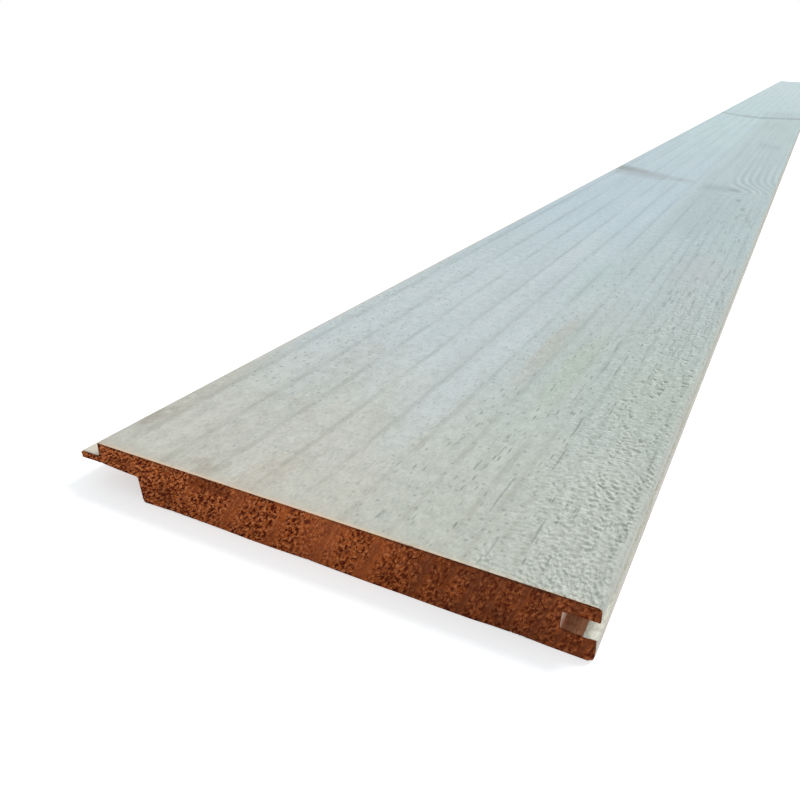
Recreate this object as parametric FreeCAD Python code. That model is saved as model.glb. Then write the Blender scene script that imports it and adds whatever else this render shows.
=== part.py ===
"""Tongue and groove board of solid timber, with one coated face.

Millimetres. X runs across the board, from the tongue at -X to the groove at +X. Y runs along it.
Z is up, the coated face is on top, and the board lies on its underside at Z = 0.
The origin is under the middle of the board.
"""
import FreeCAD, Part
import math
import os

# The stock
length = 4800.0
thickness = 19.0
face_width = 186.0  # between the two arrises of the coated face, which is what a laid board covers

# The groove, at +X
lip_thickness = 5.0  # timber between the coated face and the groove's mouth
groove_height = 6.5  # at the mouth
groove_depth = 11.0
groove_taper = 0.4  # how much lower the groove is at its back, all of it under the upper lip

# The tongue, at -X, which enters the groove of the next board
tongue_reach = 9.0
tongue_play = 0.2  # left between the tongue's top and the next board's upper lip
tongue_hollow = 0.4  # how deep the middle of the tongue's top is scooped
tongue_tip_rise = 0.6  # how far its underside comes up from the root to the tip

# The rebate along the underside, below the tongue
flange_thickness = 9.0  # timber between the coated face and the rebate
rebate_width = 18.5  # from the face's arris to the top of the shoulder
shoulder_lean = 8.0  # degrees that the shoulder leans back from upright

# Rounded edges
groove_side_arris = 1.5  # the coated face's arris over the groove
tongue_side_arris = 0.3  # the coated face's arris over the tongue, left nearly sharp
back_arris = 2.0  # the underside's arris below the groove
mouth_arris = 0.5  # the two inner edges of the groove's mouth
tongue_tip_radius = 1.4
tongue_root_radius = 0.6
tongue_hollow_radius = 20.0
shoulder_root_radius = 1.0
shoulder_foot_radius = 1.5
square = 0.0


def rounded_outline(corners):
    """A closed wire in the XZ plane at Y = 0, through (x, z, radius) corners joined by tangent arcs."""
    edges = []
    starts = []
    ends = []
    middles = []
    count = len(corners)
    points = [FreeCAD.Vector(x, 0, z) for x, z, radius in corners]
    for index, (x, z, radius) in enumerate(corners):
        corner = points[index]
        into = (corner - points[index - 1]).normalize()
        away = (points[(index + 1) % count] - corner).normalize()
        half_turn = into.getAngle(away) / 2
        cut_back = radius * math.tan(half_turn)
        inward = (away - into).normalize()
        starts.append(corner - into * cut_back)
        ends.append(corner + away * cut_back)
        middles.append(corner + inward * (radius / math.cos(half_turn) - radius))
    for index, (x, z, radius) in enumerate(corners):
        if radius > 0:
            edges.append(Part.Arc(starts[index], middles[index], ends[index]).toShape())
        edges.append(Part.LineSegment(ends[index], starts[(index + 1) % count]).toShape())
    return Part.Wire(edges)


def section():
    """The board's outline, from the arris over the groove round by the underside to the tongue."""
    groove_side = (face_width + tongue_reach) / 2
    face_left = groove_side - face_width
    tongue_tip = face_left - tongue_reach
    groove_back = groove_side - groove_depth
    mouth_top = thickness - lip_thickness
    mouth_bottom = mouth_top - groove_height
    flange_under = thickness - flange_thickness
    tongue_top = mouth_top - tongue_play
    shoulder_top = face_left + rebate_width
    shoulder_foot = shoulder_top + flange_under * math.tan(math.radians(shoulder_lean))
    return rounded_outline([
        (groove_side, thickness, groove_side_arris),
        (groove_side, mouth_top, mouth_arris),
        (groove_back, mouth_top - groove_taper, square),
        (groove_back, mouth_bottom, square),
        (groove_side, mouth_bottom, mouth_arris),
        (groove_side, 0.0, back_arris),
        (shoulder_foot, 0.0, shoulder_foot_radius),
        (shoulder_top, flange_under, shoulder_root_radius),
        (face_left, flange_under, square),
        (tongue_tip, flange_under + tongue_tip_rise, tongue_tip_radius),
        (tongue_tip, tongue_top, tongue_tip_radius),
        (face_left - tongue_reach / 2, tongue_top - tongue_hollow, tongue_hollow_radius),
        (face_left, tongue_top, tongue_root_radius),
        (face_left, thickness, tongue_side_arris),
    ])


def board():
    """The section drawn out along the whole length, with both ends sawn square."""
    outline = section()
    outline.translate(FreeCAD.Vector(0, -length / 2, 0))
    return Part.Face(outline).extrude(FreeCAD.Vector(0, length, 0))


os.makedirs("parts", exist_ok=True)
solid = board()
solid.exportStep("parts/board.step")
box = solid.BoundBox
print("board", round(box.XLength, 3), "x", round(box.YLength, 3), "x", round(box.ZLength, 3), "mm")
print("closed and valid:", solid.isValid(), " volume in litres:", round(solid.Volume / 1e6, 4))
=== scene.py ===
# %% [markdown]
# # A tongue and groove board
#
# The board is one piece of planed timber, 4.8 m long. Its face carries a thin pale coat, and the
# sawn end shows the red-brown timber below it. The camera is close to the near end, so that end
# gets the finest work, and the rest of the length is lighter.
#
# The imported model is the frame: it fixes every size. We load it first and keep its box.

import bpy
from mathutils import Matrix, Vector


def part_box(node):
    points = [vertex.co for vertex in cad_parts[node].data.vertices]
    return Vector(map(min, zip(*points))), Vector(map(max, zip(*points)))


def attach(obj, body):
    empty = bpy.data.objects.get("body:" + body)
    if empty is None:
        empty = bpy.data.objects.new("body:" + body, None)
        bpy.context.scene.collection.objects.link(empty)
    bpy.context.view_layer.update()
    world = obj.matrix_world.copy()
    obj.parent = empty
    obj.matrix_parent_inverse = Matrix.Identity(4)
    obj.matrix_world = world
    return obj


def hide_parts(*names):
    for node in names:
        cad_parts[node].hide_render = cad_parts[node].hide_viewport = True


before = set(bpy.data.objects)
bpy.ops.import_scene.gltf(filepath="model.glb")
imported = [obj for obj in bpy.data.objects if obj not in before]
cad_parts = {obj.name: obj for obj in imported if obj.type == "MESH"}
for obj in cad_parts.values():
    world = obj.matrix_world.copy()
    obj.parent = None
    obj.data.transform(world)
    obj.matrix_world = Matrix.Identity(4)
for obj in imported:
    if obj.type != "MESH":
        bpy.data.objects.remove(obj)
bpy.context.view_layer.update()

import math

import bmesh
import bpy
from mathutils import Quaternion, Vector
from mathutils.kdtree import KDTree

MM = 0.001
low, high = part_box("board")
FRONT, BACK = low[1], high[1]
LEFT_TIP, RIGHT = low[0], high[0]
TOP = high[2]
print("board from", [round(v, 4) for v in low], "to", [round(v, 4) for v in high])

# %% [markdown]
# ## The section's own measures
#
# A board is planed to one section, and the finish follows it: the coat stops at certain lines,
# and the grain is laid out from the face's left arris. These are the section's sizes, in metres.

# %% Name the section's measures
FACE_WIDTH = 186 * MM
FACE_LEFT = RIGHT - FACE_WIDTH
LIP = 5 * MM
GROOVE_HEIGHT = 6.5 * MM
GROOVE_DEPTH = 11 * MM
FLANGE = 9 * MM
GROOVE_TOP = TOP - LIP
GROOVE_BOTTOM = GROOVE_TOP - GROOVE_HEIGHT
GROOVE_BACK = RIGHT - GROOVE_DEPTH
print("face from", round(FACE_LEFT, 4), "to", round(RIGHT, 4))

# %% [markdown]
# ## The camera
#
# The photograph was taken by hand, close over the near end, looking along the board. The eye,
# the point it looks at and the small roll were worked out from the board's edges, so we write
# them as places in the board's own frame. A plain look-at turns them into a rotation.

# %% Set up the camera
EYE = Vector((118.9, -2576.8, 157.5)) * MM
AIM = Vector((-10.3, -2309.0, 19.0)) * MM
ROLL = math.radians(2.44)
LENS = 35.1
SENSOR = 36.0

camera_data = bpy.data.cameras.new("camera")
camera_data.lens = LENS
camera_data.sensor_width = SENSOR
camera_data.clip_start = 0.01
camera_data.clip_end = 200
camera = bpy.data.objects.new("camera", camera_data)
bpy.context.scene.collection.objects.link(camera)
look = (AIM - EYE).to_track_quat("-Z", "Y")
camera.rotation_mode = "QUATERNION"
camera.rotation_quaternion = look @ Quaternion((0, 0, 1), ROLL)
camera.location = EYE
bpy.context.scene.camera = camera
print("eye is", round((AIM - EYE).length, 3), "m from the point it looks at")

# %% [markdown]
# ## A small language for nodes
#
# Both the carved relief and the finishes are made of nodes: the relief of geometry nodes, the
# finishes of shader nodes. Writing each node by hand hides the idea, so one small class wraps a
# socket and lets ordinary maths add the Math nodes, and one method adds any other node.

# %% Define the node helpers
class Wire:
    """An output socket, or the maths on it, in one tree."""

    def __init__(self, sheet, socket):
        self.sheet = sheet
        self.socket = socket

    def maths(self, operation, *others):
        return self.sheet.maths(operation, self, *others)

    def __add__(self, other):
        return self.maths("ADD", other)

    def __radd__(self, other):
        return self.maths("ADD", other)

    def __sub__(self, other):
        return self.maths("SUBTRACT", other)

    def __rsub__(self, other):
        return self.sheet.maths("SUBTRACT", other, self)

    def __mul__(self, other):
        return self.maths("MULTIPLY", other)

    def __rmul__(self, other):
        return self.maths("MULTIPLY", other)

    def __truediv__(self, other):
        return self.maths("DIVIDE", other)

    def __rtruediv__(self, other):
        return self.sheet.maths("DIVIDE", other, self)

    def __pow__(self, other):
        return self.maths("POWER", other)

    def __abs__(self):
        return self.maths("ABSOLUTE")


class Sheet:
    """A node tree that is drawn on with expressions."""

    def __init__(self, tree):
        self.tree = tree

    def node(self, kind, settings=None, sockets=None, out=0):
        """Adds a node: its settings first, then its sockets' values or links."""
        new = self.tree.nodes.new(kind)
        for name, value in (settings or {}).items():
            setattr(new, name, value)
        for key, value in (sockets or {}).items():
            if isinstance(value, Wire):
                self.tree.links.new(value.socket, new.inputs[key])
            else:
                new.inputs[key].default_value = value
        return Wire(self, new.outputs[out]) if new.outputs else None

    def maths(self, operation, *values):
        return self.node("ShaderNodeMath", {"operation": operation}, dict(enumerate(values)))

    def rise(self, value, start, end):
        """0 up to start, 1 from end, and a smooth step between them."""
        sockets = {"Value": value, "From Min": start, "From Max": end}
        return self.node("ShaderNodeMapRange", {"interpolation_type": "SMOOTHSTEP"}, sockets)

    def fall(self, value, start, end):
        """1 up to start and 0 from end."""
        return self.rise(value, end, start)

    def vector(self, x, y, z):
        return self.node("ShaderNodeCombineXYZ", None, {0: x, 1: y, 2: z})

    def noise(self, place, detail=2.0, roughness=0.5, distortion=0.0):
        """Cloudy noise around 0.5, one lump to each unit of place."""
        sockets = {"Vector": place, "Scale": 1.0, "Detail": detail, "Roughness": roughness,
                   "Distortion": distortion}
        return self.node("ShaderNodeTexNoise", None, sockets)

    def cells(self, place, randomness=1.0):
        """Distance to the nearest of points scattered one to each unit of place."""
        sockets = {"Vector": place, "Scale": 1.0, "Randomness": randomness}
        return self.node("ShaderNodeTexVoronoi", None, sockets)

    def blend(self, factor, a, b):
        """Colour a where factor is 0, colour b where it is 1."""
        return self.node("ShaderNodeMix", {"data_type": "RGBA"}, {0: factor, 6: a, 7: b}, out=2)


def shade(red, green, blue):
    """A colour as it is seen on a screen, 0 to 255, turned into the linear one that nodes use."""
    def linear(value):
        value /= 255
        return value / 12.92 if value <= 0.04045 else ((value + 0.055) / 1.055) ** 2.4
    return (linear(red), linear(green), linear(blue), 1.0)


# %% [markdown]
# ## The tree inside the board
#
# A board is a slice of a trunk, so its figure is one solid pattern that every face cuts through.
# The end shows the growth rings as leaning bands, and the face shows the same rings as lines
# along the length. If both come from one field around the trunk's centre, they meet at the
# arris by themselves.
#
# The rings' spacing on the face and their lean on the end place the trunk's centre above and to
# the left of the face's left arris. The rings are wide up to a certain radius and narrow beyond.

# %% Define where a point is in the trunk
PITH_LEFT = 68.0
PITH_ABOVE = 68.0
FIRST_RING = 102.4
WIDE_RING = 16.2
NARROW_RING = 7.0
NARROW_FROM = 215.5
KNOT_ONE = 755.0
KNOT_TWO = 1915.0


def place_in_board(sheet, position):
    """X from the face's left arris, Y from the near end and Z from the face, all in millimetres."""
    parts = sheet.node("ShaderNodeSeparateXYZ", None, {0: position})
    x, y, z = (Wire(sheet, output) for output in parts.socket.node.outputs)
    return (x - FACE_LEFT) / MM, (y - FRONT) / MM, (z - TOP) / MM


def flow_round_knot(sheet, x, y, where, beyond, before, reach):
    """How far the grain is pushed sideways as it passes a knot."""
    spread = y.maths("GREATER_THAN", where) * (beyond - before) + before
    off = (y - where) / spread
    return (off * off * -1).maths("EXPONENT") * sheet.rise(x, 118.0, 166.0) * reach


def trunk_radius(sheet, x, y, z):
    """Distance from the trunk's centre in millimetres, with the grain's wander and knots."""
    across = x + PITH_LEFT
    down = z - PITH_ABOVE
    radius = (across * across + down * down).maths("SQRT")
    wander = sheet.noise(sheet.vector(x / 160, y / 700, z / 160), detail=1.0) - 0.5
    ripple = sheet.noise(sheet.vector(x / 14, y / 260, z / 14), detail=1.0) - 0.5
    pushed = flow_round_knot(sheet, x, y, KNOT_ONE, 64.0, 24.0, 25.0)
    pushed = pushed + flow_round_knot(sheet, x, y, KNOT_TWO, 110.0, 60.0, 24.0)
    return radius + wander * 5 + ripple * 1.3 - pushed


def ring_count(radius):
    """Which growth ring a radius is in, whole numbers being the ring lines."""
    wide = (radius - FIRST_RING) / WIDE_RING
    extra = (radius - NARROW_FROM).maths("MAXIMUM", 0.0)
    return wide + extra * (1 / NARROW_RING - 1 / WIDE_RING)


def ring_line(sheet, radius, half_width):
    """1 on each ring line and 0 away from it, with the line's half width in millimetres."""
    count = ring_count(radius)
    off = abs((count + 0.5).maths("FRACT") - 0.5)
    narrow = sheet.rise(radius, NARROW_FROM - 1, NARROW_FROM + 1)
    width = narrow * (NARROW_RING - WIDE_RING) + WIDE_RING
    return sheet.fall(off * width, half_width * 0.2, half_width)


# %% [markdown]
# ## Surface marks that the tools left
#
# Along the right of the face the planer tore the grain, which leaves a fur of small lumps that
# run across it. On the sawn end the saw left pits between the fibres. Both are needed twice, as
# real relief in the mesh near the camera and as fine bump and colour in the finish, so each is
# one function that works in either kind of tree.

# %% Define torn grain, vessels and end pits
# Each calm ring: the middle and half width of its band in trunk radius, and how calm it is.
CALM_RINGS = ((150, 8, 0.26), (181, 8, 0.42), (199, 4, 0.2))


def torn_zone(sheet, x, y):
    """Where the face is torn: the right edge, most of all near the end, in chains."""
    patches = sheet.noise(sheet.vector(x / 8, y / 30, 0.0), detail=2.0) - 0.5
    edge = sheet.rise(x + patches * 50, 146.0, 170.0)
    chains = sheet.noise(sheet.vector(x / 3.4, y / 36, 12.0), detail=1.0)
    chains = sheet.rise(chains, 0.42, 0.58) * 0.7 + 0.3
    chains = chains.maths("MAXIMUM", sheet.fall(y, 10.0, 40.0) * 0.8)
    far = sheet.fall(y, 170.0, 420.0) * 0.8 + 0.2
    return edge * chains * far


def torn_lumps(sheet, x, y):
    """Height of the torn lumps, 0 to 1: wavy ridges across the grain, and crumbs at the end."""
    bend = sheet.noise(sheet.vector(x / 3.4, y / 5, 7.0), detail=1.0) - 0.5
    ridges = sheet.noise(sheet.vector(x / 2.2, y / 1.75 + bend * 2.2, 0.0), detail=1.0)
    crumbs = sheet.noise(sheet.vector(x / 1.3, y / 1.15, 5.0), detail=1.0)
    dots = sheet.noise(sheet.vector(x / 2.9, y / 3.4, 2.0), detail=1.0) * 1.73 - 0.16
    lumps = ridges + (crumbs - ridges) * sheet.fall(y, 10.0, 34.0)
    lumps = lumps + (dots - lumps) * sheet.rise(y, 95.0, 140.0)
    return sheet.rise(lumps, 0.37, 0.63)


def vessels(sheet, x, y, z, size, length):
    """Distance to the nearest vessel: tubes of the grain, round on the end and long on the face."""
    bend = sheet.noise(sheet.vector(x / 5, y / 60, z / 5), detail=1.0) - 0.5
    return sheet.cells(sheet.vector((x + bend * 2) / size, y / length, z / size))


def ring_frame(sheet, x, y, z):
    """Distances across the rings and along them, in millimetres."""
    radius = trunk_radius(sheet, x, y, z)
    angle = sheet.maths("ARCTAN2", z - PITH_ABOVE, x + PITH_LEFT)
    return radius, angle * radius


def calm_share(sheet, radius):
    """How much calmer the sawn end is in a few of the rings, which the saw cut cleanly."""
    share = None
    for middle, half, strength in CALM_RINGS:
        band = sheet.fall(abs(radius - middle) / half, 0.5, 1.2) * strength
        share = band if share is None else share.maths("MAXIMUM", band)
    return share


def end_grain(sheet, x, y, z):
    """Depth of the sawn pits, 0 to 1, how coarse the grain is there, and the rings' phase."""
    radius, along = ring_frame(sheet, x, y, z)
    phase = ring_count(radius).maths("FRACT")
    blotches = sheet.noise(sheet.vector(radius / 5, along / 9, y / 5), detail=2.0) - 0.5
    early = sheet.fall(abs(phase - 0.42) + blotches * 0.5, 0.3, 0.5)
    coarse = early.maths("MAXIMUM", sheet.fall(x, 34.0, 50.0) * 0.85)
    coarse = (coarse * 0.68 + 0.32) * (1 - calm_share(sheet, radius + blotches * 6))
    place = sheet.vector(radius / 0.98, along / 1.7, y / 5)
    pits = sheet.noise(place, detail=2.0, roughness=0.6, distortion=0.6)
    return sheet.rise(pits, 0.47, 0.61) * coarse, coarse, phase


# %% [markdown]
# ## Cutting the section out
#
# Nothing is simpler to make in wood than a long prism, and that is how we model it: the outline
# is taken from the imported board's own end, so its size is right to the last arc. A copy of the
# frame's mesh is merged, all but its near end is deleted, and the end's triangles are dissolved
# into one face.

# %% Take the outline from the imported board
NAME = "timber_board"
TINY = 0.05 * MM


def select_where(thing, kind, test):
    """Selects in edit mode exactly the verts, edges or faces that pass the test."""
    bpy.ops.mesh.select_mode(type={"verts": "VERT", "edges": "EDGE", "faces": "FACE"}[kind])
    bpy.ops.mesh.select_all(action="DESELECT")
    shape = bmesh.from_edit_mesh(thing.data)
    chosen = [item for item in getattr(shape, kind) if test(item)]
    for item in chosen:
        item.select_set(True)
    shape.select_flush_mode()
    bmesh.update_edit_mesh(thing.data)
    return len(chosen)


board = bpy.data.objects.new(NAME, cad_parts["board"].data.copy())
bpy.context.scene.collection.objects.link(board)
bpy.ops.object.select_all(action="DESELECT")
board.select_set(True)
bpy.context.view_layer.objects.active = board
bpy.ops.object.mode_set(mode="EDIT")
bpy.ops.mesh.select_all(action="SELECT")
bpy.ops.mesh.remove_doubles(threshold=0.002 * MM)
select_where(board, "faces", lambda f: f.calc_center_median().y > FRONT + TINY)
bpy.ops.mesh.delete(type="FACE")
bpy.ops.mesh.select_all(action="SELECT")
bpy.ops.mesh.dissolve_faces()
bpy.ops.mesh.select_all(action="SELECT")
bpy.ops.mesh.dissolve_limited(angle_limit=math.radians(9))
bpy.ops.mesh.select_all(action="SELECT")
bpy.ops.mesh.delete(type="ONLY_FACE")
shape = bmesh.from_edit_mesh(board.data)
print("the outline has", len(shape.verts), "points and", len(shape.faces), "faces")

# %% [markdown]
# The outline's long straight runs get more points, because relief can only move points that
# exist. The torn right of the face gets the most, the rest of the face fewer, and the hidden
# sides few. The outline is then filled with one face.

# %% Divide the long runs
FINE = 0.66 * MM
MEDIUM = 3.4 * MM
COARSE = 12 * MM
TORN_FROM = FACE_LEFT + 144 * MM


def divide(thing, step, test):
    """Divides each outline edge that passes the test into pieces no longer than step."""
    shape = bmesh.from_edit_mesh(thing.data)
    runs = [(e.verts[0].co.copy(), e.verts[1].co.copy()) for e in shape.edges if test(e)]
    for a, b in runs:
        cuts = math.ceil((a - b).length / step) - 1
        middle = (a + b) / 2
        if cuts > 0:
            select_where(thing, "edges", lambda e: (
                (e.verts[0].co + e.verts[1].co) / 2 - middle).length < TINY)
            bpy.ops.mesh.subdivide(number_cuts=cuts)
    return len(runs)


def on_face(edge):
    return min(v.co.z for v in edge.verts) > TOP - TINY


select_where(board, "edges", on_face)
bpy.ops.mesh.bisect(plane_co=(TORN_FROM, 0, 0), plane_no=(1, 0, 0))
divide(board, FINE, lambda e: on_face(e) and min(v.co.x for v in e.verts) > TORN_FROM - TINY)
divide(board, MEDIUM, lambda e: on_face(e) and max(v.co.x for v in e.verts) < TORN_FROM + TINY)
divide(board, COARSE, lambda e: (e.verts[0].co - e.verts[1].co).length > COARSE)
divide(board, MEDIUM, lambda e: min(v.co.x for v in e.verts) > GROOVE_BACK - TINY)
bpy.ops.mesh.select_mode(type="EDGE")
bpy.ops.mesh.select_all(action="SELECT")
bpy.ops.mesh.edge_face_add()
shape = bmesh.from_edit_mesh(board.data)
print("the outline now has", len(shape.verts), "points and", len(shape.faces), "face")

# %% [markdown]
# ## The two ends
#
# An end is one flat face, and it needs a grid of points to carry the pits of the saw. Bisecting
# it with planes makes the grid. A narrow inset first keeps the cuts off the outline, so that the
# sides stay light. The coarse grid is copied to the far end, and then the near end, which the
# camera almost touches, is cut finer.

# %% Cut the ends into grids
ARRIS = 0.35 * MM
COARSE_GRID = 2.05 * MM
FINER = 4


def at_end(y):
    return lambda item: all(abs(v.co.y - y) < TINY for v in item.verts)


def cut_grid(axis, start, end, count, skip=0):
    """Bisects what is selected with evenly spaced planes, leaving out each one that skip divides."""
    for index in range(1, count):
        if skip and index % skip == 0:
            continue
        where = [0.0, 0.0, 0.0]
        normal = [0.0, 0.0, 0.0]
        where[axis] = start + (end - start) * index / count
        normal[axis] = 1.0
        bpy.ops.mesh.select_all(action="SELECT")
        bpy.ops.mesh.bisect(plane_co=where, plane_no=normal)


columns = round((RIGHT - LEFT_TIP) / COARSE_GRID)
rows = round((TOP - low[2]) / COARSE_GRID)
bpy.ops.mesh.select_mode(type="FACE")
bpy.ops.mesh.select_all(action="SELECT")
bpy.ops.mesh.inset(thickness=ARRIS)
bpy.ops.mesh.hide(unselected=True)
cut_grid(0, LEFT_TIP, RIGHT, columns)
cut_grid(2, low[2], TOP, rows)
bpy.ops.mesh.reveal(select=False)
bpy.ops.mesh.select_all(action="SELECT")
bpy.ops.mesh.duplicate_move(TRANSFORM_OT_translate={"value": (0, BACK - FRONT, 0)})
bpy.ops.mesh.flip_normals()
select_where(board, "faces", lambda f: at_end(FRONT)(f) and not any(
    e.is_boundary for e in f.edges))
bpy.ops.mesh.hide(unselected=True)
cut_grid(0, LEFT_TIP, RIGHT, columns * FINER, FINER)
cut_grid(2, low[2], TOP, rows * FINER, FINER)
bpy.ops.mesh.reveal(select=False)
shape = bmesh.from_edit_mesh(board.data)
print("the two ends have", len(shape.faces), "faces")

# %% [markdown]
# ## Drawing it out
#
# The outline of the near end is extruded along the board in a few lengths, and each length is
# subdivided into even steps. A step far from the camera covers less of the picture, so the near
# lengths have steps of about a millimetre and the far ones of a hand's width. The last length
# meets the far end, where the doubled points are merged.

# %% Extrude along the length
# Each length: where it ends, in millimetres from the near end, and into how many steps it is cut.
LENGTHS = ((100, 128), (220, 104), (380, 78), (620, 24), (1000, 14), (2200, 10), (4800, 8))

select_where(board, "edges", lambda e: e.is_boundary and at_end(FRONT)(e))
here = 0.0
for there, steps in LENGTHS:
    bpy.ops.mesh.extrude_region_move(TRANSFORM_OT_translate={"value": (0, (there - here) * MM, 0)})
    here = there
bpy.ops.mesh.select_all(action="SELECT")
bpy.ops.mesh.remove_doubles(threshold=0.01 * MM)
here = 0.0
for there, steps in LENGTHS:
    low_y, high_y = FRONT + here * MM, FRONT + there * MM
    select_where(board, "edges", lambda e: (
        abs(min(v.co.y for v in e.verts) - low_y) < TINY
        and abs(max(v.co.y for v in e.verts) - high_y) < TINY))
    bpy.ops.mesh.subdivide(number_cuts=steps - 1)
    here = there
bpy.ops.mesh.select_all(action="SELECT")
bpy.ops.mesh.normals_make_consistent(inside=False)
shape = bmesh.from_edit_mesh(board.data)
print("drawn out to", len(shape.faces), "faces; open edges:", sum(e.is_boundary for e in shape.edges))
bpy.ops.object.mode_set(mode="OBJECT")
board.data.materials.clear()
board.data.calc_loop_triangles()
print("triangles:", len(board.data.loop_triangles))

# %% [markdown]
# ## A flat map of the surface
#
# The finishes are worked out from places in the board, but a stored model carries them as flat
# pictures, and then every part of the surface needs room in one square. The board is 25 times as
# long as it is wide, so an even map would waste the square. Ours gives most room to the sawn end
# and the first part of the face, and less to what is far off or hidden. A side is laid out by its
# distance round the outline, which is the girth that a tape would measure.

# %% Lay out the map
SQUARE = 1024.0
MAP_CUTS = (380.0, 2200.0, 4800.0)
# Each place: left, bottom, right and top in the square.
END_NEAR_PLACE = (4, 924, 1020, 1020)
END_FAR_PLACE = (376, 884, 4, 920)
FACE_PLACES = ((4, 242, 376, 880), (380, 4, 566, 918), (570, 4, 756, 918))
SIDE_PLACES = ((4, 4, 376, 238), (760, 4, 1020, 918))

rim = [e for e in board.data.edges if all(
    abs(board.data.vertices[i].co.y - FRONT) < TINY for i in e.vertices)]
side_faces = [f for f in board.data.polygons if abs(f.normal.y) < 0.5]
end_faces = {f.index for f in board.data.polygons if abs(f.normal.y) > 0.5}
side_points = {i for f in side_faces for i in f.vertices}
neighbours = {}
for edge in rim:
    a, b = edge.vertices
    if a in side_points and b in side_points:
        neighbours.setdefault(a, []).append(b)
        neighbours.setdefault(b, []).append(a)
corner = Vector((FACE_LEFT, FRONT, TOP))
here = min(neighbours, key=lambda i: (board.data.vertices[i].co - corner).length)
ahead = max(neighbours[here], key=lambda i: board.data.vertices[i].co.x)
girth = {here: 0.0}
walked = 0.0
while ahead not in girth:
    walked += (board.data.vertices[ahead].co - board.data.vertices[here].co).length
    girth[ahead] = walked
    here, ahead = ahead, next((i for i in neighbours[ahead] if i not in girth), here)
FULL_GIRTH = walked + (board.data.vertices[here].co - board.data.vertices[min(
    girth, key=girth.get)].co).length
face_end = max(d for i, d in girth.items() if board.data.vertices[i].co.z > TOP - 1.6 * MM
               and board.data.vertices[i].co.x > 0)
print("girth", round(FULL_GIRTH / MM, 1), "mm, of which the face", round(face_end / MM, 1))

finder = KDTree(len(girth))
for index in girth:
    finder.insert(board.data.vertices[index].co, index)
finder.balance()


def into(place, across, up):
    """A point of the square, from shares of 0 to 1 across and up one place."""
    left, bottom, right, top = place
    return (left + (right - left) * across) / SQUARE, (bottom + (top - bottom) * up) / SQUARE


def girth_at(co):
    found, index, off = finder.find(Vector((co.x, FRONT, co.z)))
    return girth[index]


def map_side(face):
    """Each corner of a side face in the square."""
    corners = [board.data.vertices[i].co for i in face.vertices]
    distances = [girth_at(co) for co in corners]
    if max(distances) - min(distances) > FULL_GIRTH / 2:
        distances = [d or FULL_GIRTH for d in distances]
    along = [(co.y - FRONT) / MM for co in corners]
    middle = sum(along) / len(along)
    on_the_face = max(distances) < face_end + TINY
    cuts = MAP_CUTS if on_the_face else (MAP_CUTS[0], MAP_CUTS[-1])
    part = next(i for i, cut in enumerate(cuts) if middle < cut)
    start = cuts[part - 1] if part else 0.0
    place = (FACE_PLACES if on_the_face else SIDE_PLACES)[part]
    low_d, high_d = (0.0, face_end) if on_the_face else (face_end, FULL_GIRTH)
    return [into(place, (d - low_d) / (high_d - low_d), (a - start) / (cuts[part] - start))
            for d, a in zip(distances, along)]


def map_end(face):
    corners = [board.data.vertices[i].co for i in face.vertices]
    place = END_NEAR_PLACE if corners[0].y < 0 else END_FAR_PLACE
    return [into(place, (co.x - LEFT_TIP) / (RIGHT - LEFT_TIP), co.z / TOP) for co in corners]


flat_map = board.data.uv_layers.new(name="OFBake")
for face in board.data.polygons:
    spots = map_end(face) if face.index in end_faces else map_side(face)
    for loop, spot in zip(face.loop_indices, spots):
        flat_map.data[loop].uv = spot
print("mapped", len(board.data.polygons), "faces; maps:", [m.name for m in board.data.uv_layers])

# %% [markdown]
# ## Carving the relief
#
# Relief could be a bump in the finish alone, but the near end fills half the picture, so there
# it is real: geometry nodes push each point inwards along its normal. They only ever push in,
# so the board keeps its size. Further off the mesh is too coarse for lumps of a few
# millimetres, so the lumps fade out of the mesh and into the finish's bump.

# %% Push the surface in
LUMP_DEPTH = 0.5
PIT_DEPTH = 0.45
EDGE_WEAR = 0.3
CARVED_FULL = 130.0
CARVED_TO = 300.0


def carved_share(sheet, y):
    """1 where the mesh is fine enough to carry the lumps, 0 where the bump takes over."""
    return sheet.fall(y, CARVED_FULL, CARVED_TO)


def relief_tree():
    """The geometry nodes that carve the board."""
    tree = bpy.data.node_groups.new("carve_relief", "GeometryNodeTree")
    tree.interface.new_socket("Geometry", in_out="INPUT", socket_type="NodeSocketGeometry")
    tree.interface.new_socket("Geometry", in_out="OUTPUT", socket_type="NodeSocketGeometry")
    sheet = Sheet(tree)
    solid = sheet.node("NodeGroupInput")
    position = sheet.node("GeometryNodeInputPosition")
    normal = sheet.node("GeometryNodeInputNormal")
    x, y, z = place_in_board(sheet, position)
    parts = sheet.node("ShaderNodeSeparateXYZ", None, {0: normal})
    faces = [Wire(sheet, output) for output in parts.socket.node.outputs]
    upwards = sheet.rise(faces[2], 0.3, 0.9)
    endwards = sheet.rise(faces[1] * -1, 0.3, 0.9)
    torn = torn_zone(sheet, x, y) * (1 - torn_lumps(sheet, x, y)) * carved_share(sheet, y)
    waves = sheet.noise(sheet.vector(x / 12, y / 60, 0.0), detail=1.0) * 0.06
    face_depth = (torn * LUMP_DEPTH + waves) * upwards
    pits, coarse, phase = end_grain(sheet, x, y, z)
    saw = sheet.noise(sheet.vector(x / 7, z / 2.2, 3.0), detail=2.0) * 0.12
    end_depth = (pits * PIT_DEPTH + saw) * endwards
    chipped = sheet.rise(sheet.noise(sheet.vector(x / 2.3, z / 2.3, 0.0), detail=2.0), 0.45, 0.75)
    wear = chipped * EDGE_WEAR * sheet.fall(y, 0.0, 0.6)
    depth = (face_depth + end_depth + wear) * MM * -1
    push = sheet.node("ShaderNodeVectorMath", {"operation": "SCALE"}, {0: normal, "Scale": depth})
    moved = sheet.node("GeometryNodeSetPosition", None, {"Geometry": solid, "Offset": push})
    sheet.node("NodeGroupOutput", None, {0: moved})
    return tree


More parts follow.
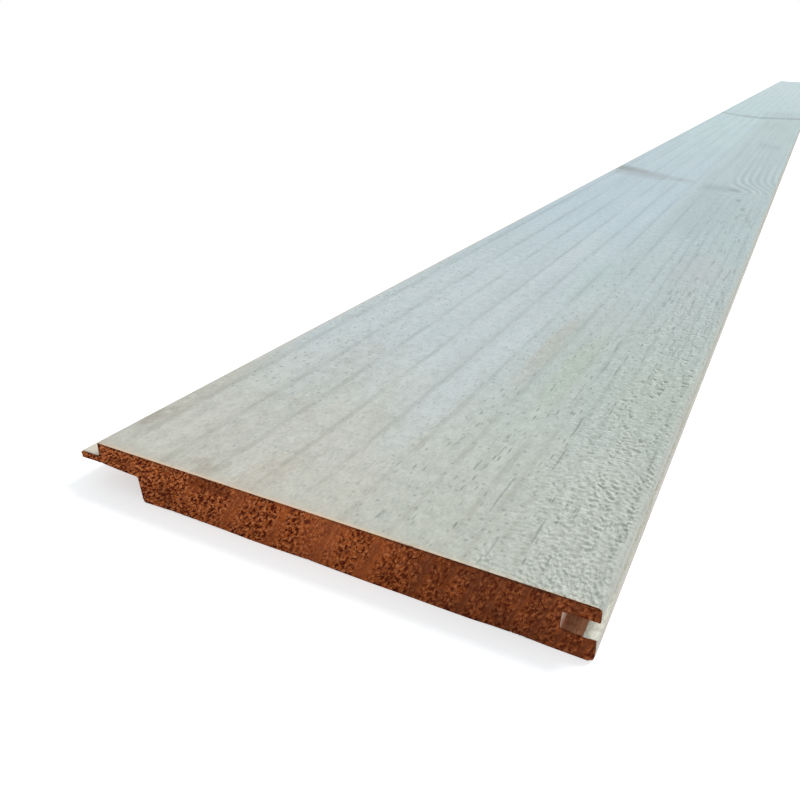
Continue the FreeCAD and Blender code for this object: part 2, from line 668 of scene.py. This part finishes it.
carve = board.modifiers.new("carve", "NODES")
carve.node_group = relief_tree()
bpy.ops.object.modifier_apply(modifier=carve.name)
bpy.ops.object.shade_smooth_by_angle(angle=math.radians(40))
reach = [max(abs(v.co[axis]) for v in board.data.vertices) for axis in range(3)]
print("carved; farthest points from the origin", [round(value, 5) for value in reach])

# %% [markdown]
# ## The bare timber
#
# The ends, the underside and the inside of the groove are bare. Sawn ends drink the light and
# are deep red-brown, with dark pits and pale flecks that lean as the rings do. The planed sides
# are paler, and show the same rings as stripes. Fibres scatter light, so bare timber is rough,
# and its reflection is weak.

# %% Make the bare timber
END_BASE = shade(188, 93, 38)
END_DEEP = shade(125, 63, 34)
END_ROSE = shade(168, 92, 62)
END_PIT = shade(98, 30, 8)
END_STAIN = shade(112, 46, 14)
END_FLECK = shade(226, 138, 86)
END_RIM = shade(70, 34, 16)
SIDE_BASE = shade(200, 140, 108)
SIDE_DEEP = shade(152, 108, 82)
SIDE_PALE = shade(218, 176, 146)
SIDE_RED = shade(140, 78, 46)
# Painted light: the groove's back wall is painted paler still, as if light from the mouth fell on it.
BACK_WALL_LIGHT = shade(252, 220, 198)
TIMBER_GLOSS = 0.1


def new_finish(name, gloss):
    """An empty material: its sheet, its shader node and the place of each point."""
    material = bpy.data.materials.new(name)
    material.use_nodes = True
    material.node_tree.nodes.clear()
    sheet = Sheet(material.node_tree)
    shader = sheet.node("ShaderNodeBsdfPrincipled", None, {"Specular IOR Level": gloss})
    sheet.node("ShaderNodeOutputMaterial", None, {"Surface": shader})
    spot = sheet.node("ShaderNodeTexCoord", None, None, out="Object")
    return material, sheet, shader.socket.node, place_in_board(sheet, spot)


def wire_up(sheet, shader, colour, roughness, height, distance):
    """Joins a finish to its shader. Height is in millimetres."""
    links = sheet.tree.links
    links.new(colour.socket, shader.inputs["Base Color"])
    links.new(roughness.socket, shader.inputs["Roughness"])
    bump = sheet.node("ShaderNodeBump", None, {"Height": height, "Distance": distance})
    links.new(bump.socket, shader.inputs["Normal"])


# Each stain: where it is, from the left arris and from the face, its half sizes and its strength.
STAINS = ((12.5, -5.2, 6.0, 2.4, 0.6), (31.5, -11.5, 4.5, 4.5, 0.55), (52, -3.0, 10.0, 2.8, 0.8),
          (70, -5.0, 3.5, 2.2, 0.35), (138, -6.0, 3.0, 7.0, 0.4), (121, -13, 2.5, 5.0, 0.3),
          (157, -14.5, 5.0, 3.0, 0.35), (176, -15.0, 6.0, 2.0, 0.3))


def stain_marks(sheet, x, z):
    """Up to 1 inside each dark stain of the sawn end."""
    marks = None
    for across, down, half_width, half_height, strength in STAINS:
        off_x, off_z = (x - across) / half_width, (z - down) / half_height
        part = sheet.fall(off_x * off_x + off_z * off_z, 0.1, 1.4) * strength
        marks = part if marks is None else marks.maths("MAXIMUM", part)
    return marks


def end_colour(sheet, x, y, z):
    """The sawn end: deep brown with pits and flecks, darker to the right and round its rim."""
    pits, coarse, phase = end_grain(sheet, x, y, z)
    radius, along = ring_frame(sheet, x, y, z)
    clouds = sheet.noise(sheet.vector(x / 9, y, z / 7), detail=2.0) - 0.5
    late = sheet.rise(phase, 0.72, 0.9) * sheet.fall(phase, 0.93, 1.0)
    outer = sheet.rise(x, 95.0, 150.0)
    colour = sheet.blend(outer * 0.75 + late * 0.3 + clouds * 1.4, END_BASE, END_DEEP)
    colour = sheet.blend(calm_share(sheet, radius) * 0.7, colour, END_ROSE)
    calm = sheet.rise(x, 62.0, 90.0) * 0.25
    stains = sheet.noise(sheet.vector(x / 6, y, z / 5), detail=2.0)
    colour = sheet.blend(sheet.rise(stains, 0.54, 0.68) * (0.4 - calm), colour, END_PIT)
    flecks = sheet.noise(sheet.vector(radius / 0.82, along / 1.5, 9.0), detail=2.0, roughness=0.6)
    left = sheet.fall(x, 14.0, 30.0)
    flecks = sheet.rise(flecks, 0.48, 0.6) * coarse * (1.15 - calm - outer * 0.55 + left * 0.35)
    colour = sheet.blend(flecks, colour, END_FLECK)
    colour = sheet.blend(pits * (1.3 - calm - outer * 0.2), colour, END_PIT)
    threads = sheet.noise(sheet.vector(radius / 0.6, along / 30, 4.0), detail=1.0)
    colour = sheet.blend(sheet.rise(threads, 0.62, 0.74) * (0.4 - outer * 0.25), colour, END_FLECK)
    marks = stain_marks(sheet, x + clouds * 6, z + clouds * 4)
    colour = sheet.blend(marks * 0.75, colour, END_STAIN)
    rim = sheet.rise(z + clouds * 2.2, -1.6, -0.4)
    return sheet.blend(rim * (outer * 0.2 + 0.4), colour, END_RIM), pits


def side_colour(sheet, x, y, z):
    """The planed sides: stripes along the board, with the vessels as short dark lines."""
    radius = trunk_radius(sheet, x, y, z)
    stripes = sheet.noise(sheet.vector(radius / 2.5, y / 300, 0.0), detail=3.0, roughness=0.6)
    fibre = sheet.noise(sheet.vector(x / 0.4, y / 12, z / 0.4), detail=2.0, roughness=0.6)
    mottle = sheet.noise(sheet.vector(x / 1.4, y / 2.4, z / 1.4), detail=3.0, roughness=0.65)
    colour = sheet.blend(sheet.rise(stripes, 0.3, 0.7) * 0.7, SIDE_BASE, SIDE_DEEP)
    colour = sheet.blend(ring_line(sheet, radius, 1.8) * 0.5, colour, SIDE_DEEP)
    colour = sheet.blend(sheet.rise(mottle, 0.48, 0.64) * 0.6, colour, SIDE_RED)
    colour = sheet.blend(sheet.rise(fibre, 0.5, 0.8) * 0.5, colour, SIDE_PALE)
    pores = sheet.fall(vessels(sheet, x, y, z, 1.4, 16.0), 0.06, 0.2)
    colour = sheet.blend(pores * 0.6, colour, END_PIT)
    # Painted light: a pale band on the groove's back wall.
    groove_back = (GROOVE_BACK - FACE_LEFT) / MM
    wall = sheet.rise(x, groove_back - 1, groove_back - 0.5) * sheet.fall(
        x, groove_back + 0.1, groove_back + 0.3)
    return sheet.blend(wall * 0.95, colour, BACK_WALL_LIGHT), pores, fibre


def make_timber():
    material, sheet, shader, (x, y, z) = new_finish("bare_timber", TIMBER_GLOSS)
    sawn, pits = end_colour(sheet, x, y, z)
    planed, pores, fibre = side_colour(sheet, x, y, z)
    length = (BACK - FRONT) / MM
    at_ends = sheet.fall(y, 0.7, 1.1).maths("MAXIMUM", sheet.rise(y, length - 0.6, length - 0.3))
    colour = sheet.blend(at_ends, planed, sawn)
    grit = sheet.noise(sheet.vector(x / 0.45, y / 0.45, z / 0.45), detail=2.0, roughness=0.7)
    height = at_ends * (grit * 0.22 - pits * 0.2) + (1 - at_ends) * (fibre * 0.06 - pores * 0.12)
    roughness = fibre * 0.1 + 0.74
    colour, roughness, height = add_overspray(sheet, x, y, z, colour, roughness, height)
    wire_up(sheet, shader, colour, roughness, height, MM)
    return material


# %% [markdown]
# ## The coat
#
# The face has a thin, matt, pale coat that has sunk into the grain. It hides the colour of the timber but
# not its figure: ring lines stay as faint lines, vessels as short dark dashes, and a few checks as thin
# dark slits. The two whorls of knots show as dark smudges across the board, with the grain bent round the
# nearer one. Close to the sawn end the coat is warmer. Further off it is painted cool and pale, a painted
# sheen of the sky that grows as the view grazes the face, and to the right it is darkened with painted
# shade.

# %% Choose the coat's colours
WARM_COAT = shade(203, 196, 181)
PLAIN_COAT = shade(200, 207, 209)
# The cool, far and pale coats are a painted sheen: the pale sky's reflection, which grows as the view
# grazes the face.
COOL_SHEEN_COAT = shade(192, 208, 217)
FAR_SHEEN_COAT = shade(199, 219, 221)
PALE_SHEEN_COAT = shade(208, 223, 224)
# Painted shade on the right of the face.
SHADED_GREEN_COAT = shade(177, 190, 184)
WARM_GREEN = shade(186, 186, 162)
NEAR_LINE = shade(162, 158, 144)
LINE_TINT = shade(160, 168, 161)
FAR_LINE = shade(146, 163, 166)
STAIN_TINT = shade(186, 178, 164)
DASH_TINT = shade(118, 124, 114)
TORN_TINT = shade(140, 145, 132)
LIGHT_TINT = shade(222, 226, 218)
KNOT_TINT = shade(122, 114, 106)
KNOT_COOL = shade(138, 152, 150)
CREAM = shade(226, 214, 196)
EDGE_COAT = shade(232, 204, 174)
EDGE_BAND = shade(196, 172, 150)
# Painted shade for the coat on the right side wall and on the groove's strip away from the end.
SHADED_WALL_COAT = shade(174, 174, 162)
ARRIS_COAT = shade(206, 190, 178)
# Painted light: the strip in the groove's mouth is paler than the face's coat, so it stays bright in the
# upper lip's shade.
LIT_SPRAY_COAT = shade(234, 232, 216)
COAT_GLOSS = 0.5

# %% [markdown]
# Checks are few, and each has its own place, so they are a short table: millimetres from the
# left arris, then where the check starts and ends along the board, and how dark it is.

# %% Draw the checks
CHECKS = ((150.3, 93, 118, 1.0), (151.6, 66, 87, 0.9), (141.6, 29, 57, 0.8), (159.0, 19, 36, 0.9),
          (149.3, 5, 20, 0.6), (127.0, 52, 61, 0.8), (129.8, 54, 60, 0.9), (131.0, 66, 74, 0.6),
          (129.4, 80, 87, 0.7), (132.6, 76, 82, 0.5), (130.5, 131, 143, 0.6), (142.0, 124, 152, 0.6),
          (151.0, 168, 182, 0.9), (151.4, 187, 197, 0.9), (144.2, 196, 208, 0.9),
          (145.2, 166, 186, 0.6), (182.0, 84, 102, 0.7), (166.8, 38, 50, 0.5), (114.4, 68, 76, 0.5),
          (176.5, 6, 20, 0.4), (128.2, 4, 11, 0.5), (112.0, 8, 14, 0.5))
CHECK_WIDTH = 0.5


def check_marks(sheet, x, y):
    """Up to 1 in each check: a thin slit, uneven in width, that tapers to both ends."""
    waver = (sheet.noise(sheet.vector(x / 40, y / 9, 0.0), detail=1.0) - 0.5) * 0.9
    uneven = sheet.noise(sheet.vector(x / 40, y / 4, 6.0), detail=1.0) + 0.5
    wavy_x, wavy_y = x + waver, y + waver * 2
    marks = None
    for across, start, end, strength in CHECKS:
        middle, half = (start + end) / 2, (end - start) / 2
        inside = (1 - abs((wavy_y - middle) / half)).maths("MAXIMUM", 0.0)
        width = inside.maths("SQRT") * CHECK_WIDTH + 0.02
        slit = sheet.fall(abs(wavy_x - across) / width, 0.1, 1.5) * sheet.rise(inside, 0.0, 0.2)
        slit = slit * strength
        marks = slit if marks is None else marks.maths("MAXIMUM", slit)
    return marks * uneven


# %% [markdown]
# Knots are strokes: each runs from one place to another, and swells or thins on its way. The same table
# holds both whorls, and last three broad, faint strokes of painted shade round and between them. A stroke
# is: start, end, half width at the start and at the end, and strength.

# %% Draw the knots
KNOT_AND_SHADE_STROKES = (((-3, 862), (28, 842), 36, 34, 0.8), ((20, 847), (46, 830), 34, 32, 0.62),
         ((2, 842), (72, 806), 54, 36, 0.42),
         ((50, 822), (104, 794), 30, 18, 0.3), ((78, 806), (90, 798), 14, 14, 0.5),
         ((110, 774), (157, 766), 36, 28, 0.5),
         ((138, 772), (157, 764), 18, 16, 0.85), ((155, 704), (158.5, 704), 14, 14, 1.0),
         ((163.5, 653), (166.5, 653), 11, 11, 0.9), ((174, 594), (176.5, 594), 12, 12, 0.7),
         ((166, 618), (168, 618), 9, 9, 0.6), ((-3, 2015), (52, 1932), 45, 45, 0.45),
         ((48, 1936), (96, 1908), 48, 50, 0.6), ((90, 1908), (150, 1938), 50, 50, 0.9),
         # The last three strokes are broad and faint: painted shade round and between the whorls.
         ((146, 1936), (189, 1966), 48, 42, 1.0), ((88, 2080), (162, 2080), 150, 130, 0.16),
         ((135, 1290), (172, 1260), 60, 50, 0.3), ((102, 1700), (160, 1700), 170, 170, 0.14))


def stroke_mark(sheet, x, y, start, end, half_start, half_end):
    """1 along one stroke across the board."""
    share = ((x - start[0]) / (end[0] - start[0])).maths("MAXIMUM", 0.0).maths("MINIMUM", 1.0)
    centre = share * (end[1] - start[1]) + start[1]
    half = share * (half_end - half_start) + half_start
    off = abs(y - centre) / half
    soft = min(9.0, (end[0] - start[0]) / 2 + 1)
    ends = sheet.rise(x, start[0] - 2, start[0] + soft - 2) * sheet.fall(x, end[0] + 2 - soft, end[0] + 2)
    return sheet.fall(off, 0.1, 1.0) * ends


def knot_marks_and_shade(sheet, x, y):
    """The dark marks of the two whorls of knots, and broad painted shade round and between them."""
    ragged = sheet.noise(sheet.vector(x / 9, y / 25, 0.0), detail=3.0) - 0.5
    ragged_x, ragged_y = x + ragged * 2, y + ragged * 18
    marks = None
    for start, end, half_start, half_end, strength in KNOT_AND_SHADE_STROKES:
        part = stroke_mark(sheet, ragged_x, ragged_y, start, end, half_start, half_end) * strength
        marks = part if marks is None else marks.maths("MAXIMUM", part)
    return marks


# %% [markdown]
# The coat itself is built up in the order in which the eye finds things: broad tone first, then
# the fibres, the ring lines and the vessels, and last the torn grain, checks and knots.

# %% Make the coat
FINE_RING = 7.6


def coat_tone(sheet, x, y):
    """Broad colour: warm at the end, cool further off as a painted sheen, darker right as painted shade.
    """
    clouds = sheet.noise(sheet.vector(x / 30, y / 110, 0.0), detail=4.0, roughness=0.6) - 0.5
    # Painted sheen: further off, the coat turns cool and then pale.
    colour = sheet.blend(sheet.rise(y + clouds * 250, 200.0, 560.0), PLAIN_COAT, COOL_SHEEN_COAT)
    colour = sheet.blend(sheet.rise(y + clouds * 900, 650.0, 1700.0), colour, FAR_SHEEN_COAT)
    colour = sheet.blend(sheet.rise(y + clouds * 900, 2300.0, 3600.0), colour, PALE_SHEEN_COAT)
    colour = sheet.blend(sheet.fall(y + clouds * 120, 0.0, 190.0) * 0.95, colour, WARM_COAT)
    # Painted shade: the coat is darkened towards the right of the face, up to about two metres along.
    right = sheet.rise(x + clouds * 40, 94.0, 120.0) * 0.46
    right = right + sheet.rise(x, 136.0, 160.0) * sheet.fall(y, 600.0, 1000.0) * 0.14
    right = right * (sheet.rise(y, 0.0, 150.0) * 0.5 + 0.5) * sheet.fall(y, 1900.0, 2300.0)
    colour = sheet.blend(right, colour, SHADED_GREEN_COAT)
    warm = sheet.rise(x + clouds * 60, 96.0, 126.0) * sheet.fall(y + clouds * 120, 170.0, 330.0)
    colour = sheet.blend(warm * 0.22, colour, WARM_GREEN)
    # Painted sheen, far off on the right.
    beyond = sheet.rise(y, 2050.0, 2500.0) * sheet.rise(x + clouds * 60, 118.0, 150.0)
    colour = sheet.blend(beyond * 0.7, colour, PALE_SHEEN_COAT)
    drift = sheet.noise(sheet.vector(x / 13, y / 170, 9.0), detail=2.0)
    colour = sheet.blend(sheet.rise(drift, 0.45, 0.7) * 0.15, colour, LINE_TINT)
    return sheet.blend(sheet.fall(drift, 0.3, 0.5) * 0.15, colour, LIGHT_TINT)


# Each patch: its middle, its half sizes across and along, its strength and its colour.
PATCHES = ((115, 185, 6, 60, 0.5, (184, 174, 160)), (133, 165, 7, 52, 0.5, (174, 186, 160)),
           (173, 150, 18, 45, 0.35, (174, 182, 160)), (66, 12, 9, 15, 0.35, (198, 178, 160)),
           (43, 6, 9, 5, 0.6, (170, 156, 138)), (102, 315, 12, 60, 0.4, (178, 198, 188)),
           (160, 385, 20, 55, 0.45, (190, 188, 190)), (5, 60, 5, 45, 0.45, (196, 184, 166)),
           (2.5, 27, 3.5, 9, 0.75, (150, 132, 116)), (92, 90, 9, 50, 0.25, (194, 206, 214)),
           (130, 620, 28, 150, 0.35, (164, 182, 182)))


def coat_patches(sheet, x, y, colour):
    """Tints the coat where it lies thinner or has taken up colour from the timber."""
    ragged = sheet.noise(sheet.vector(x / 9, y / 24, 18.0), detail=3.0, roughness=0.6) - 0.5
    ragged_x, ragged_y = x + ragged * 8, y + ragged * 30
    for across, ahead, half_width, half_length, strength, tint in PATCHES:
        off_x, off_y = (ragged_x - across) / half_width, (ragged_y - ahead) / half_length
        part = sheet.fall(off_x * off_x + off_y * off_y, 0.0, 1.5)
        colour = sheet.blend(part * strength, colour, shade(*tint))
    return colour


def coat_fibres(sheet, x, y, radius, colour):
    """The fine grain in the coat: stains and smears near the end, mottle, fibres and specks."""
    stains = sheet.noise(sheet.vector(x / 16, y / 30, 8.0), detail=3.0, roughness=0.6)
    near = sheet.fall(y, 40.0, 320.0) * sheet.fall(x, 60.0, 150.0)
    colour = sheet.blend(sheet.rise(stains, 0.5, 0.72) * near * 0.45, colour, STAIN_TINT)
    across, ahead = x - 36, (y - 40) / 1.2
    arc = abs((across * across + ahead * ahead).maths("SQRT") - 24)
    colour = sheet.blend(sheet.fall(arc, 0.5, 4.0) * sheet.rise(y, 44.0, 60.0) * 0.3, colour,
                         STAIN_TINT)
    mottle = sheet.noise(sheet.vector(x / 4.5, y / 7, 3.0), detail=3.0, roughness=0.65)
    fibre = sheet.noise(sheet.vector(radius / 0.5, y / 9, 0.0), detail=2.0, roughness=0.65)
    speck = sheet.noise(sheet.vector(x / 1.1, y / 2.0, 2.0), detail=2.0, roughness=0.7)
    colour = sheet.blend(sheet.rise(mottle, 0.45, 0.7) * 0.28, colour, LINE_TINT)
    colour = sheet.blend(sheet.fall(mottle, 0.3, 0.52) * 0.25, colour, LIGHT_TINT)
    colour = sheet.blend(sheet.rise(fibre, 0.5, 0.72) * 0.2, colour, LINE_TINT)
    colour = sheet.blend(sheet.rise(speck, 0.5, 0.7) * 0.28, colour, LINE_TINT)
    return sheet.blend(sheet.fall(speck, 0.32, 0.5) * 0.3, colour, LIGHT_TINT), fibre, speck


def coat_ripples(sheet, x, y, colour):
    """Fine ripples across the grain, in a wider zone than the torn lumps."""
    ripple = sheet.noise(sheet.vector(x / 2.8, y / 1.15, 14.0), detail=2.0, roughness=0.6)
    spread = sheet.noise(sheet.vector(x / 10, y / 40, 15.0), detail=2.0) - 0.5
    wide = sheet.rise(x + spread * 40, 134.0, 158.0) * sheet.fall(y, 200.0, 480.0)
    colour = sheet.blend(sheet.rise(ripple, 0.5, 0.66) * wide * 0.4, colour, TORN_TINT)
    return sheet.blend(sheet.fall(ripple, 0.34, 0.5) * wide * 0.35, colour, LIGHT_TINT)


def coat_rings(sheet, x, y, radius, colour):
    """Adds the ring lines, and beyond the nearer knots a finer set between them."""
    steps = (y + 80).maths("LOGARITHM", math.e) * 5.3
    gaps = sheet.noise(sheet.vector(x / 6, steps, 1.0), detail=3.0, roughness=0.6)
    line = ring_line(sheet, radius, 1.9) * (sheet.rise(gaps, 0.38, 0.62) * 0.9 + 0.15)
    line = line * (sheet.fall(y, 300.0, 1000.0) * 0.4 + 0.6)
    saw = abs((radius / FINE_RING).maths("FRACT") - 0.5) * 2
    place = sheet.rise(x, 128.0, 150.0) * sheet.rise(y, 740.0, 775.0)
    place = place * (sheet.fall(y, 840.0, 1120.0) * 0.75 + 0.25)
    place = place.maths("MAXIMUM", sheet.rise(y, 820.0, 1000.0) * sheet.rise(gaps, 0.4, 0.6) * 0.18)
    phase = ring_count(radius).maths("FRACT")
    tint = sheet.blend(sheet.rise(y, 20.0, 160.0), NEAR_LINE, LINE_TINT)
    tint = sheet.blend(sheet.rise(y, 220.0, 560.0), tint, FAR_LINE)
    colour = sheet.blend(phase ** 5 * 0.14, colour, tint)
    colour = sheet.blend(sheet.rise(saw, 0.55, 0.95) * place * 0.32, colour, LIGHT_TINT)
    finer = sheet.fall(saw, 0.05, 0.6) * place * 1.15
    return sheet.blend(line.maths("MAXIMUM", finer) * 0.42, colour, tint)


def coat_vessels(sheet, x, y, z, colour):
    """Adds the vessels: dark dashes in crowds, small specks, and streaks along the right."""
    crowd = sheet.noise(sheet.vector(x / 7, y / 50, 4.0), detail=2.0)
    right = sheet.rise(x, 92.0, 112.0) * 0.6 + 0.4
    dashes = sheet.fall(vessels(sheet, x, y, z, 2.2, 15.0), 0.06, 0.21)
    dashes = dashes * sheet.rise(crowd, 0.36, 0.5) * right
    specks = sheet.fall(vessels(sheet, x + 40, y, z, 3.1, 4.4), 0.09, 0.28)
    swarm = sheet.fall(x, 40.0, 60.0) * sheet.rise(y, 35.0, 100.0) * 0.4
    specks = specks * (swarm + sheet.rise(x, 90.0, 108.0) * 0.25 + 0.3)
    specks = specks * sheet.fall(y, 200.0, 600.0)
    streaks = sheet.fall(vessels(sheet, x + 90, y, z, 3.4, 36.0), 0.08, 0.3)
    streaks = streaks * sheet.rise(x, 126.0, 150.0) * sheet.rise(y, 120.0, 240.0)
    streaks = streaks * sheet.fall(y, 500.0, 800.0) * 0.6
    marks = dashes.maths("MAXIMUM", specks).maths("MAXIMUM", streaks)
    return sheet.blend(marks * 0.75, colour, DASH_TINT)


def coat_edges(sheet, x, y, z, colour):
    """Warmer where the coat runs thin over an edge: the sawn end, the two arrises, the tongue; the right
    side wall is darkened with painted shade.
    """
    ragged = sheet.noise(sheet.vector(x / 3, y, z), detail=2.0)
    front = sheet.fall(y + ragged, 1.2, 2.2) * sheet.rise(ragged, 0.25, 0.5)
    front = front * (sheet.fall(x, 90.0, 180.0) * 0.7 + 0.3)
    colour = sheet.blend(front, colour, EDGE_COAT)
    band = sheet.fall(y + ragged * 6, 3.0, 11.0) * sheet.fall(x, 90.0, 160.0)
    colour = sheet.blend(band * 0.3, colour, EDGE_BAND)
    worn = sheet.noise(sheet.vector(x / 4, y / 18, 1.0), detail=2.0)
    left = sheet.rise(worn, 0.4, 0.65) * sheet.fall(y, 60.0, 200.0) * sheet.fall(x, 0.6, 4.5)
    colour = sheet.blend(left * 0.6, colour, STAIN_TINT)
    colour = sheet.blend(sheet.fall(x, 0.6, 3.2) * sheet.rise(y, 40.0, 120.0) * 0.4, colour, CREAM)
    scored = sheet.fall(abs(x + worn * 1.6 - 183), 0.3, 1.3) * sheet.fall(y, 300.0, 700.0)
    colour = sheet.blend(scored * 0.14, colour, DASH_TINT)
    # Painted shade: the coat on the right side wall is darkened.
    colour = sheet.blend(sheet.rise(x + worn, 184.4, 186.1) * 0.6, colour, SHADED_WALL_COAT)
    lower = sheet.fall(z, -12.4, -11.4) * sheet.rise(x, 180.0, 184.0)
    colour = sheet.blend(lower * 0.6, colour, ARRIS_COAT)
    return sheet.blend(sheet.fall(z, -4.6, -4.0) * sheet.fall(x, -1.0, 0.0), colour, CREAM)


def coat_finish(sheet, x, y, z):
    """Colour, roughness and height of the coat."""
    radius = trunk_radius(sheet, x, y, z)
    colour = coat_patches(sheet, x, y, coat_tone(sheet, x, y))
    colour, fibre, speck = coat_fibres(sheet, x, y, radius, colour)
    torn = torn_zone(sheet, x, y)
    lumps = torn_lumps(sheet, x, y)
    ringed = coat_rings(sheet, x, y, radius, colour)
    colour = sheet.blend(torn * 0.6, ringed, colour)
    colour = coat_ripples(sheet, x, y, colour)
    colour = coat_vessels(sheet, x, y, z, colour)
    checks = check_marks(sheet, x, y)
    # Painted shade and highlight: each torn lump is darkened on the side that faces the near end and
    # lightened on the side that faces away, as the light from beyond the board falls.
    painted_lump_shading = torn_lumps(sheet, x, y + 0.8) - torn_lumps(sheet, x, y - 0.8)
    colour = sheet.blend(sheet.rise(painted_lump_shading, 0.1, 0.8) * torn * 0.75, colour, TORN_TINT)
    colour = sheet.blend(sheet.fall(painted_lump_shading, -0.8, -0.1) * torn * 0.55, colour, LIGHT_TINT)
    tint = sheet.blend(sheet.rise(x, 84.0, 112.0), KNOT_TINT, KNOT_COOL)
    colour = sheet.blend(knot_marks_and_shade(sheet, x, y) * 0.7, colour, tint)
    colour = sheet.blend(checks * 0.6, colour, DASH_TINT)
    colour = coat_edges(sheet, x, y, z, colour)
    height = lumps * torn * (1.25 - carved_share(sheet, y)) * LUMP_DEPTH
    height = height + speck * (torn * 0.08 + 0.08)
    return colour, fibre * 0.1 + torn * 0.1 + 0.42, height


def add_overspray(sheet, x, y, z, colour, roughness, height):
    """Lays a strip of the coat over the bare timber just inside the groove's mouth."""
    ragged = (sheet.noise(sheet.vector(x, y / 3, z), detail=2.0) - 0.5) * 0.6
    strip = sheet.rise(x + ragged, OVERSPRAY_FROM - 0.12, OVERSPRAY_FROM + 0.12)
    lowest, highest = (GROOVE_BOTTOM - TOP) / MM, (GROOVE_TOP - TOP) / MM
    strip = strip * sheet.rise(z, lowest - 1.2, lowest - 0.9) * sheet.rise(y, 0.5, 0.9)
    strip = strip * sheet.fall(z, highest + 0.2, highest + 0.4)
    mottle = sheet.noise(sheet.vector(x / 1.3, y / 2.2, z / 1.3), detail=2.0, roughness=0.6)
    # The strip is the real coat, painted paler as painted light where the upper lip shades it.
    coat = sheet.blend(sheet.rise(mottle, 0.42, 0.64) * 0.4, LIT_SPRAY_COAT, LINE_TINT)
    # Further from the sawn end it dims towards the wall's tint: painted shade.
    coat = sheet.blend(sheet.rise(y, 9.0, 30.0) * 0.5, coat, SHADED_WALL_COAT)
    return sheet.blend(strip, colour, coat), roughness - strip * 0.2, height + mottle * strip * 0.2


def make_coat():
    material, sheet, shader, (x, y, z) = new_finish("pale_coat", COAT_GLOSS)
    colour, roughness, height = coat_finish(sheet, x, y, z)
    wire_up(sheet, shader, colour, roughness, height, MM)
    return material


# %% [markdown]
# ## Where the coat stops
#
# The coat covers the face, the edge over and under the groove and the top of the tongue, and it
# ran a little way into the groove. Each face of the mesh takes one of the two finishes by its
# place and the way that it faces, and the strip in the groove is part of the bare timber's own
# finish.

# %% Give each face its finish
OVERSPRAY_FROM = 181.7
COATED, BARE = 0, 1
board.data.materials.append(make_coat())
board.data.materials.append(make_timber())


def is_coated(face):
    """True on the face, the right edge, the tongue's top and the little wall above it."""
    centre, normal = face.center, face.normal
    if face.index in end_faces:
        return False
    if centre.x < FACE_LEFT + TINY:
        return normal.z > 0.3 or (centre.z > TOP - LIP and normal.x < -0.5)
    if centre.x > RIGHT - 2 * MM and normal.x > 0.5:
        return centre.z > 1 * MM
    return centre.z > TOP - 2 * MM


for face in board.data.polygons:
    face.material_index = COATED if is_coated(face) else BARE
print("coated faces", sum(face.material_index == COATED for face in board.data.polygons))

# %% [markdown]
# ## Floor, backdrop and light
#
# The photograph's background is plain white. The floor is a pale plane, and rays that the
# camera sends get a little extra from it, so that it reads as white and still keeps the
# board's shadow. The light is a broad soft one from high beyond the board's right, over an even
# sky, so that the sawn end is in half shade and the torn grain catches the light from behind.

# %% Build the stage
FLOOR_SIZE = 60.0
bpy.ops.object.select_all(action="DESELECT")
bpy.ops.mesh.primitive_plane_add(size=FLOOR_SIZE, location=(0, 0, 0))
floor = bpy.context.object
floor.name = "floor"

floor_material = bpy.data.materials.new("floor")
floor_material.use_nodes = True
floor_material.node_tree.nodes.clear()
sheet = Sheet(floor_material.node_tree)
path = sheet.node("ShaderNodeLightPath")
seen = {output.name: Wire(sheet, output) for output in path.socket.node.outputs}
plain = seen["Is Camera Ray"].maths("MAXIMUM", seen["Is Glossy Ray"])
plain = plain.maths("MAXIMUM", seen["Is Transmission Ray"])
glow = sheet.node("ShaderNodeEmission", None, {"Color": (1, 1, 1, 1), "Strength": plain * 0.52})
matt = sheet.node("ShaderNodeBsdfDiffuse", None, {"Color": (0.82, 0.82, 0.82, 1)})
both = sheet.node("ShaderNodeAddShader", None, {0: matt, 1: glow})
sheet.node("ShaderNodeOutputMaterial", None, {"Surface": both})
floor.data.materials.append(floor_material)

world = bpy.data.worlds.new("studio")
bpy.context.scene.world = world
world.use_nodes = True
world.node_tree.nodes.clear()
sheet = Sheet(world.node_tree)
path = sheet.node("ShaderNodeLightPath")
seen = {output.name: Wire(sheet, output) for output in path.socket.node.outputs}
plain = seen["Is Camera Ray"].maths("MAXIMUM", seen["Is Transmission Ray"])
sky = sheet.blend(plain, (0.88, 0.96, 1.0, 1), (1, 1, 1, 1))
strength = plain * 0.4 + 0.6
background = sheet.node("ShaderNodeBackground", None, {"Color": sky, "Strength": strength})
sheet.node("ShaderNodeOutputWorld", None, {"Surface": background})

key_data = bpy.data.lights.new("key", "SUN")
key_data.energy = 1.75
key_data.angle = math.radians(24)
key = bpy.data.objects.new("key", key_data)
bpy.context.scene.collection.objects.link(key)
KEY_FROM = Vector((0.35, 0.55, 0.8))
key.rotation_mode = "QUATERNION"
key.rotation_quaternion = (-KEY_FROM).to_track_quat("-Z", "Y")

bpy.context.scene.view_settings.view_transform = "Standard"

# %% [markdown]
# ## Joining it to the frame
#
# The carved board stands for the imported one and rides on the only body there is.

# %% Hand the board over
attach(board, "root")
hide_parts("board")
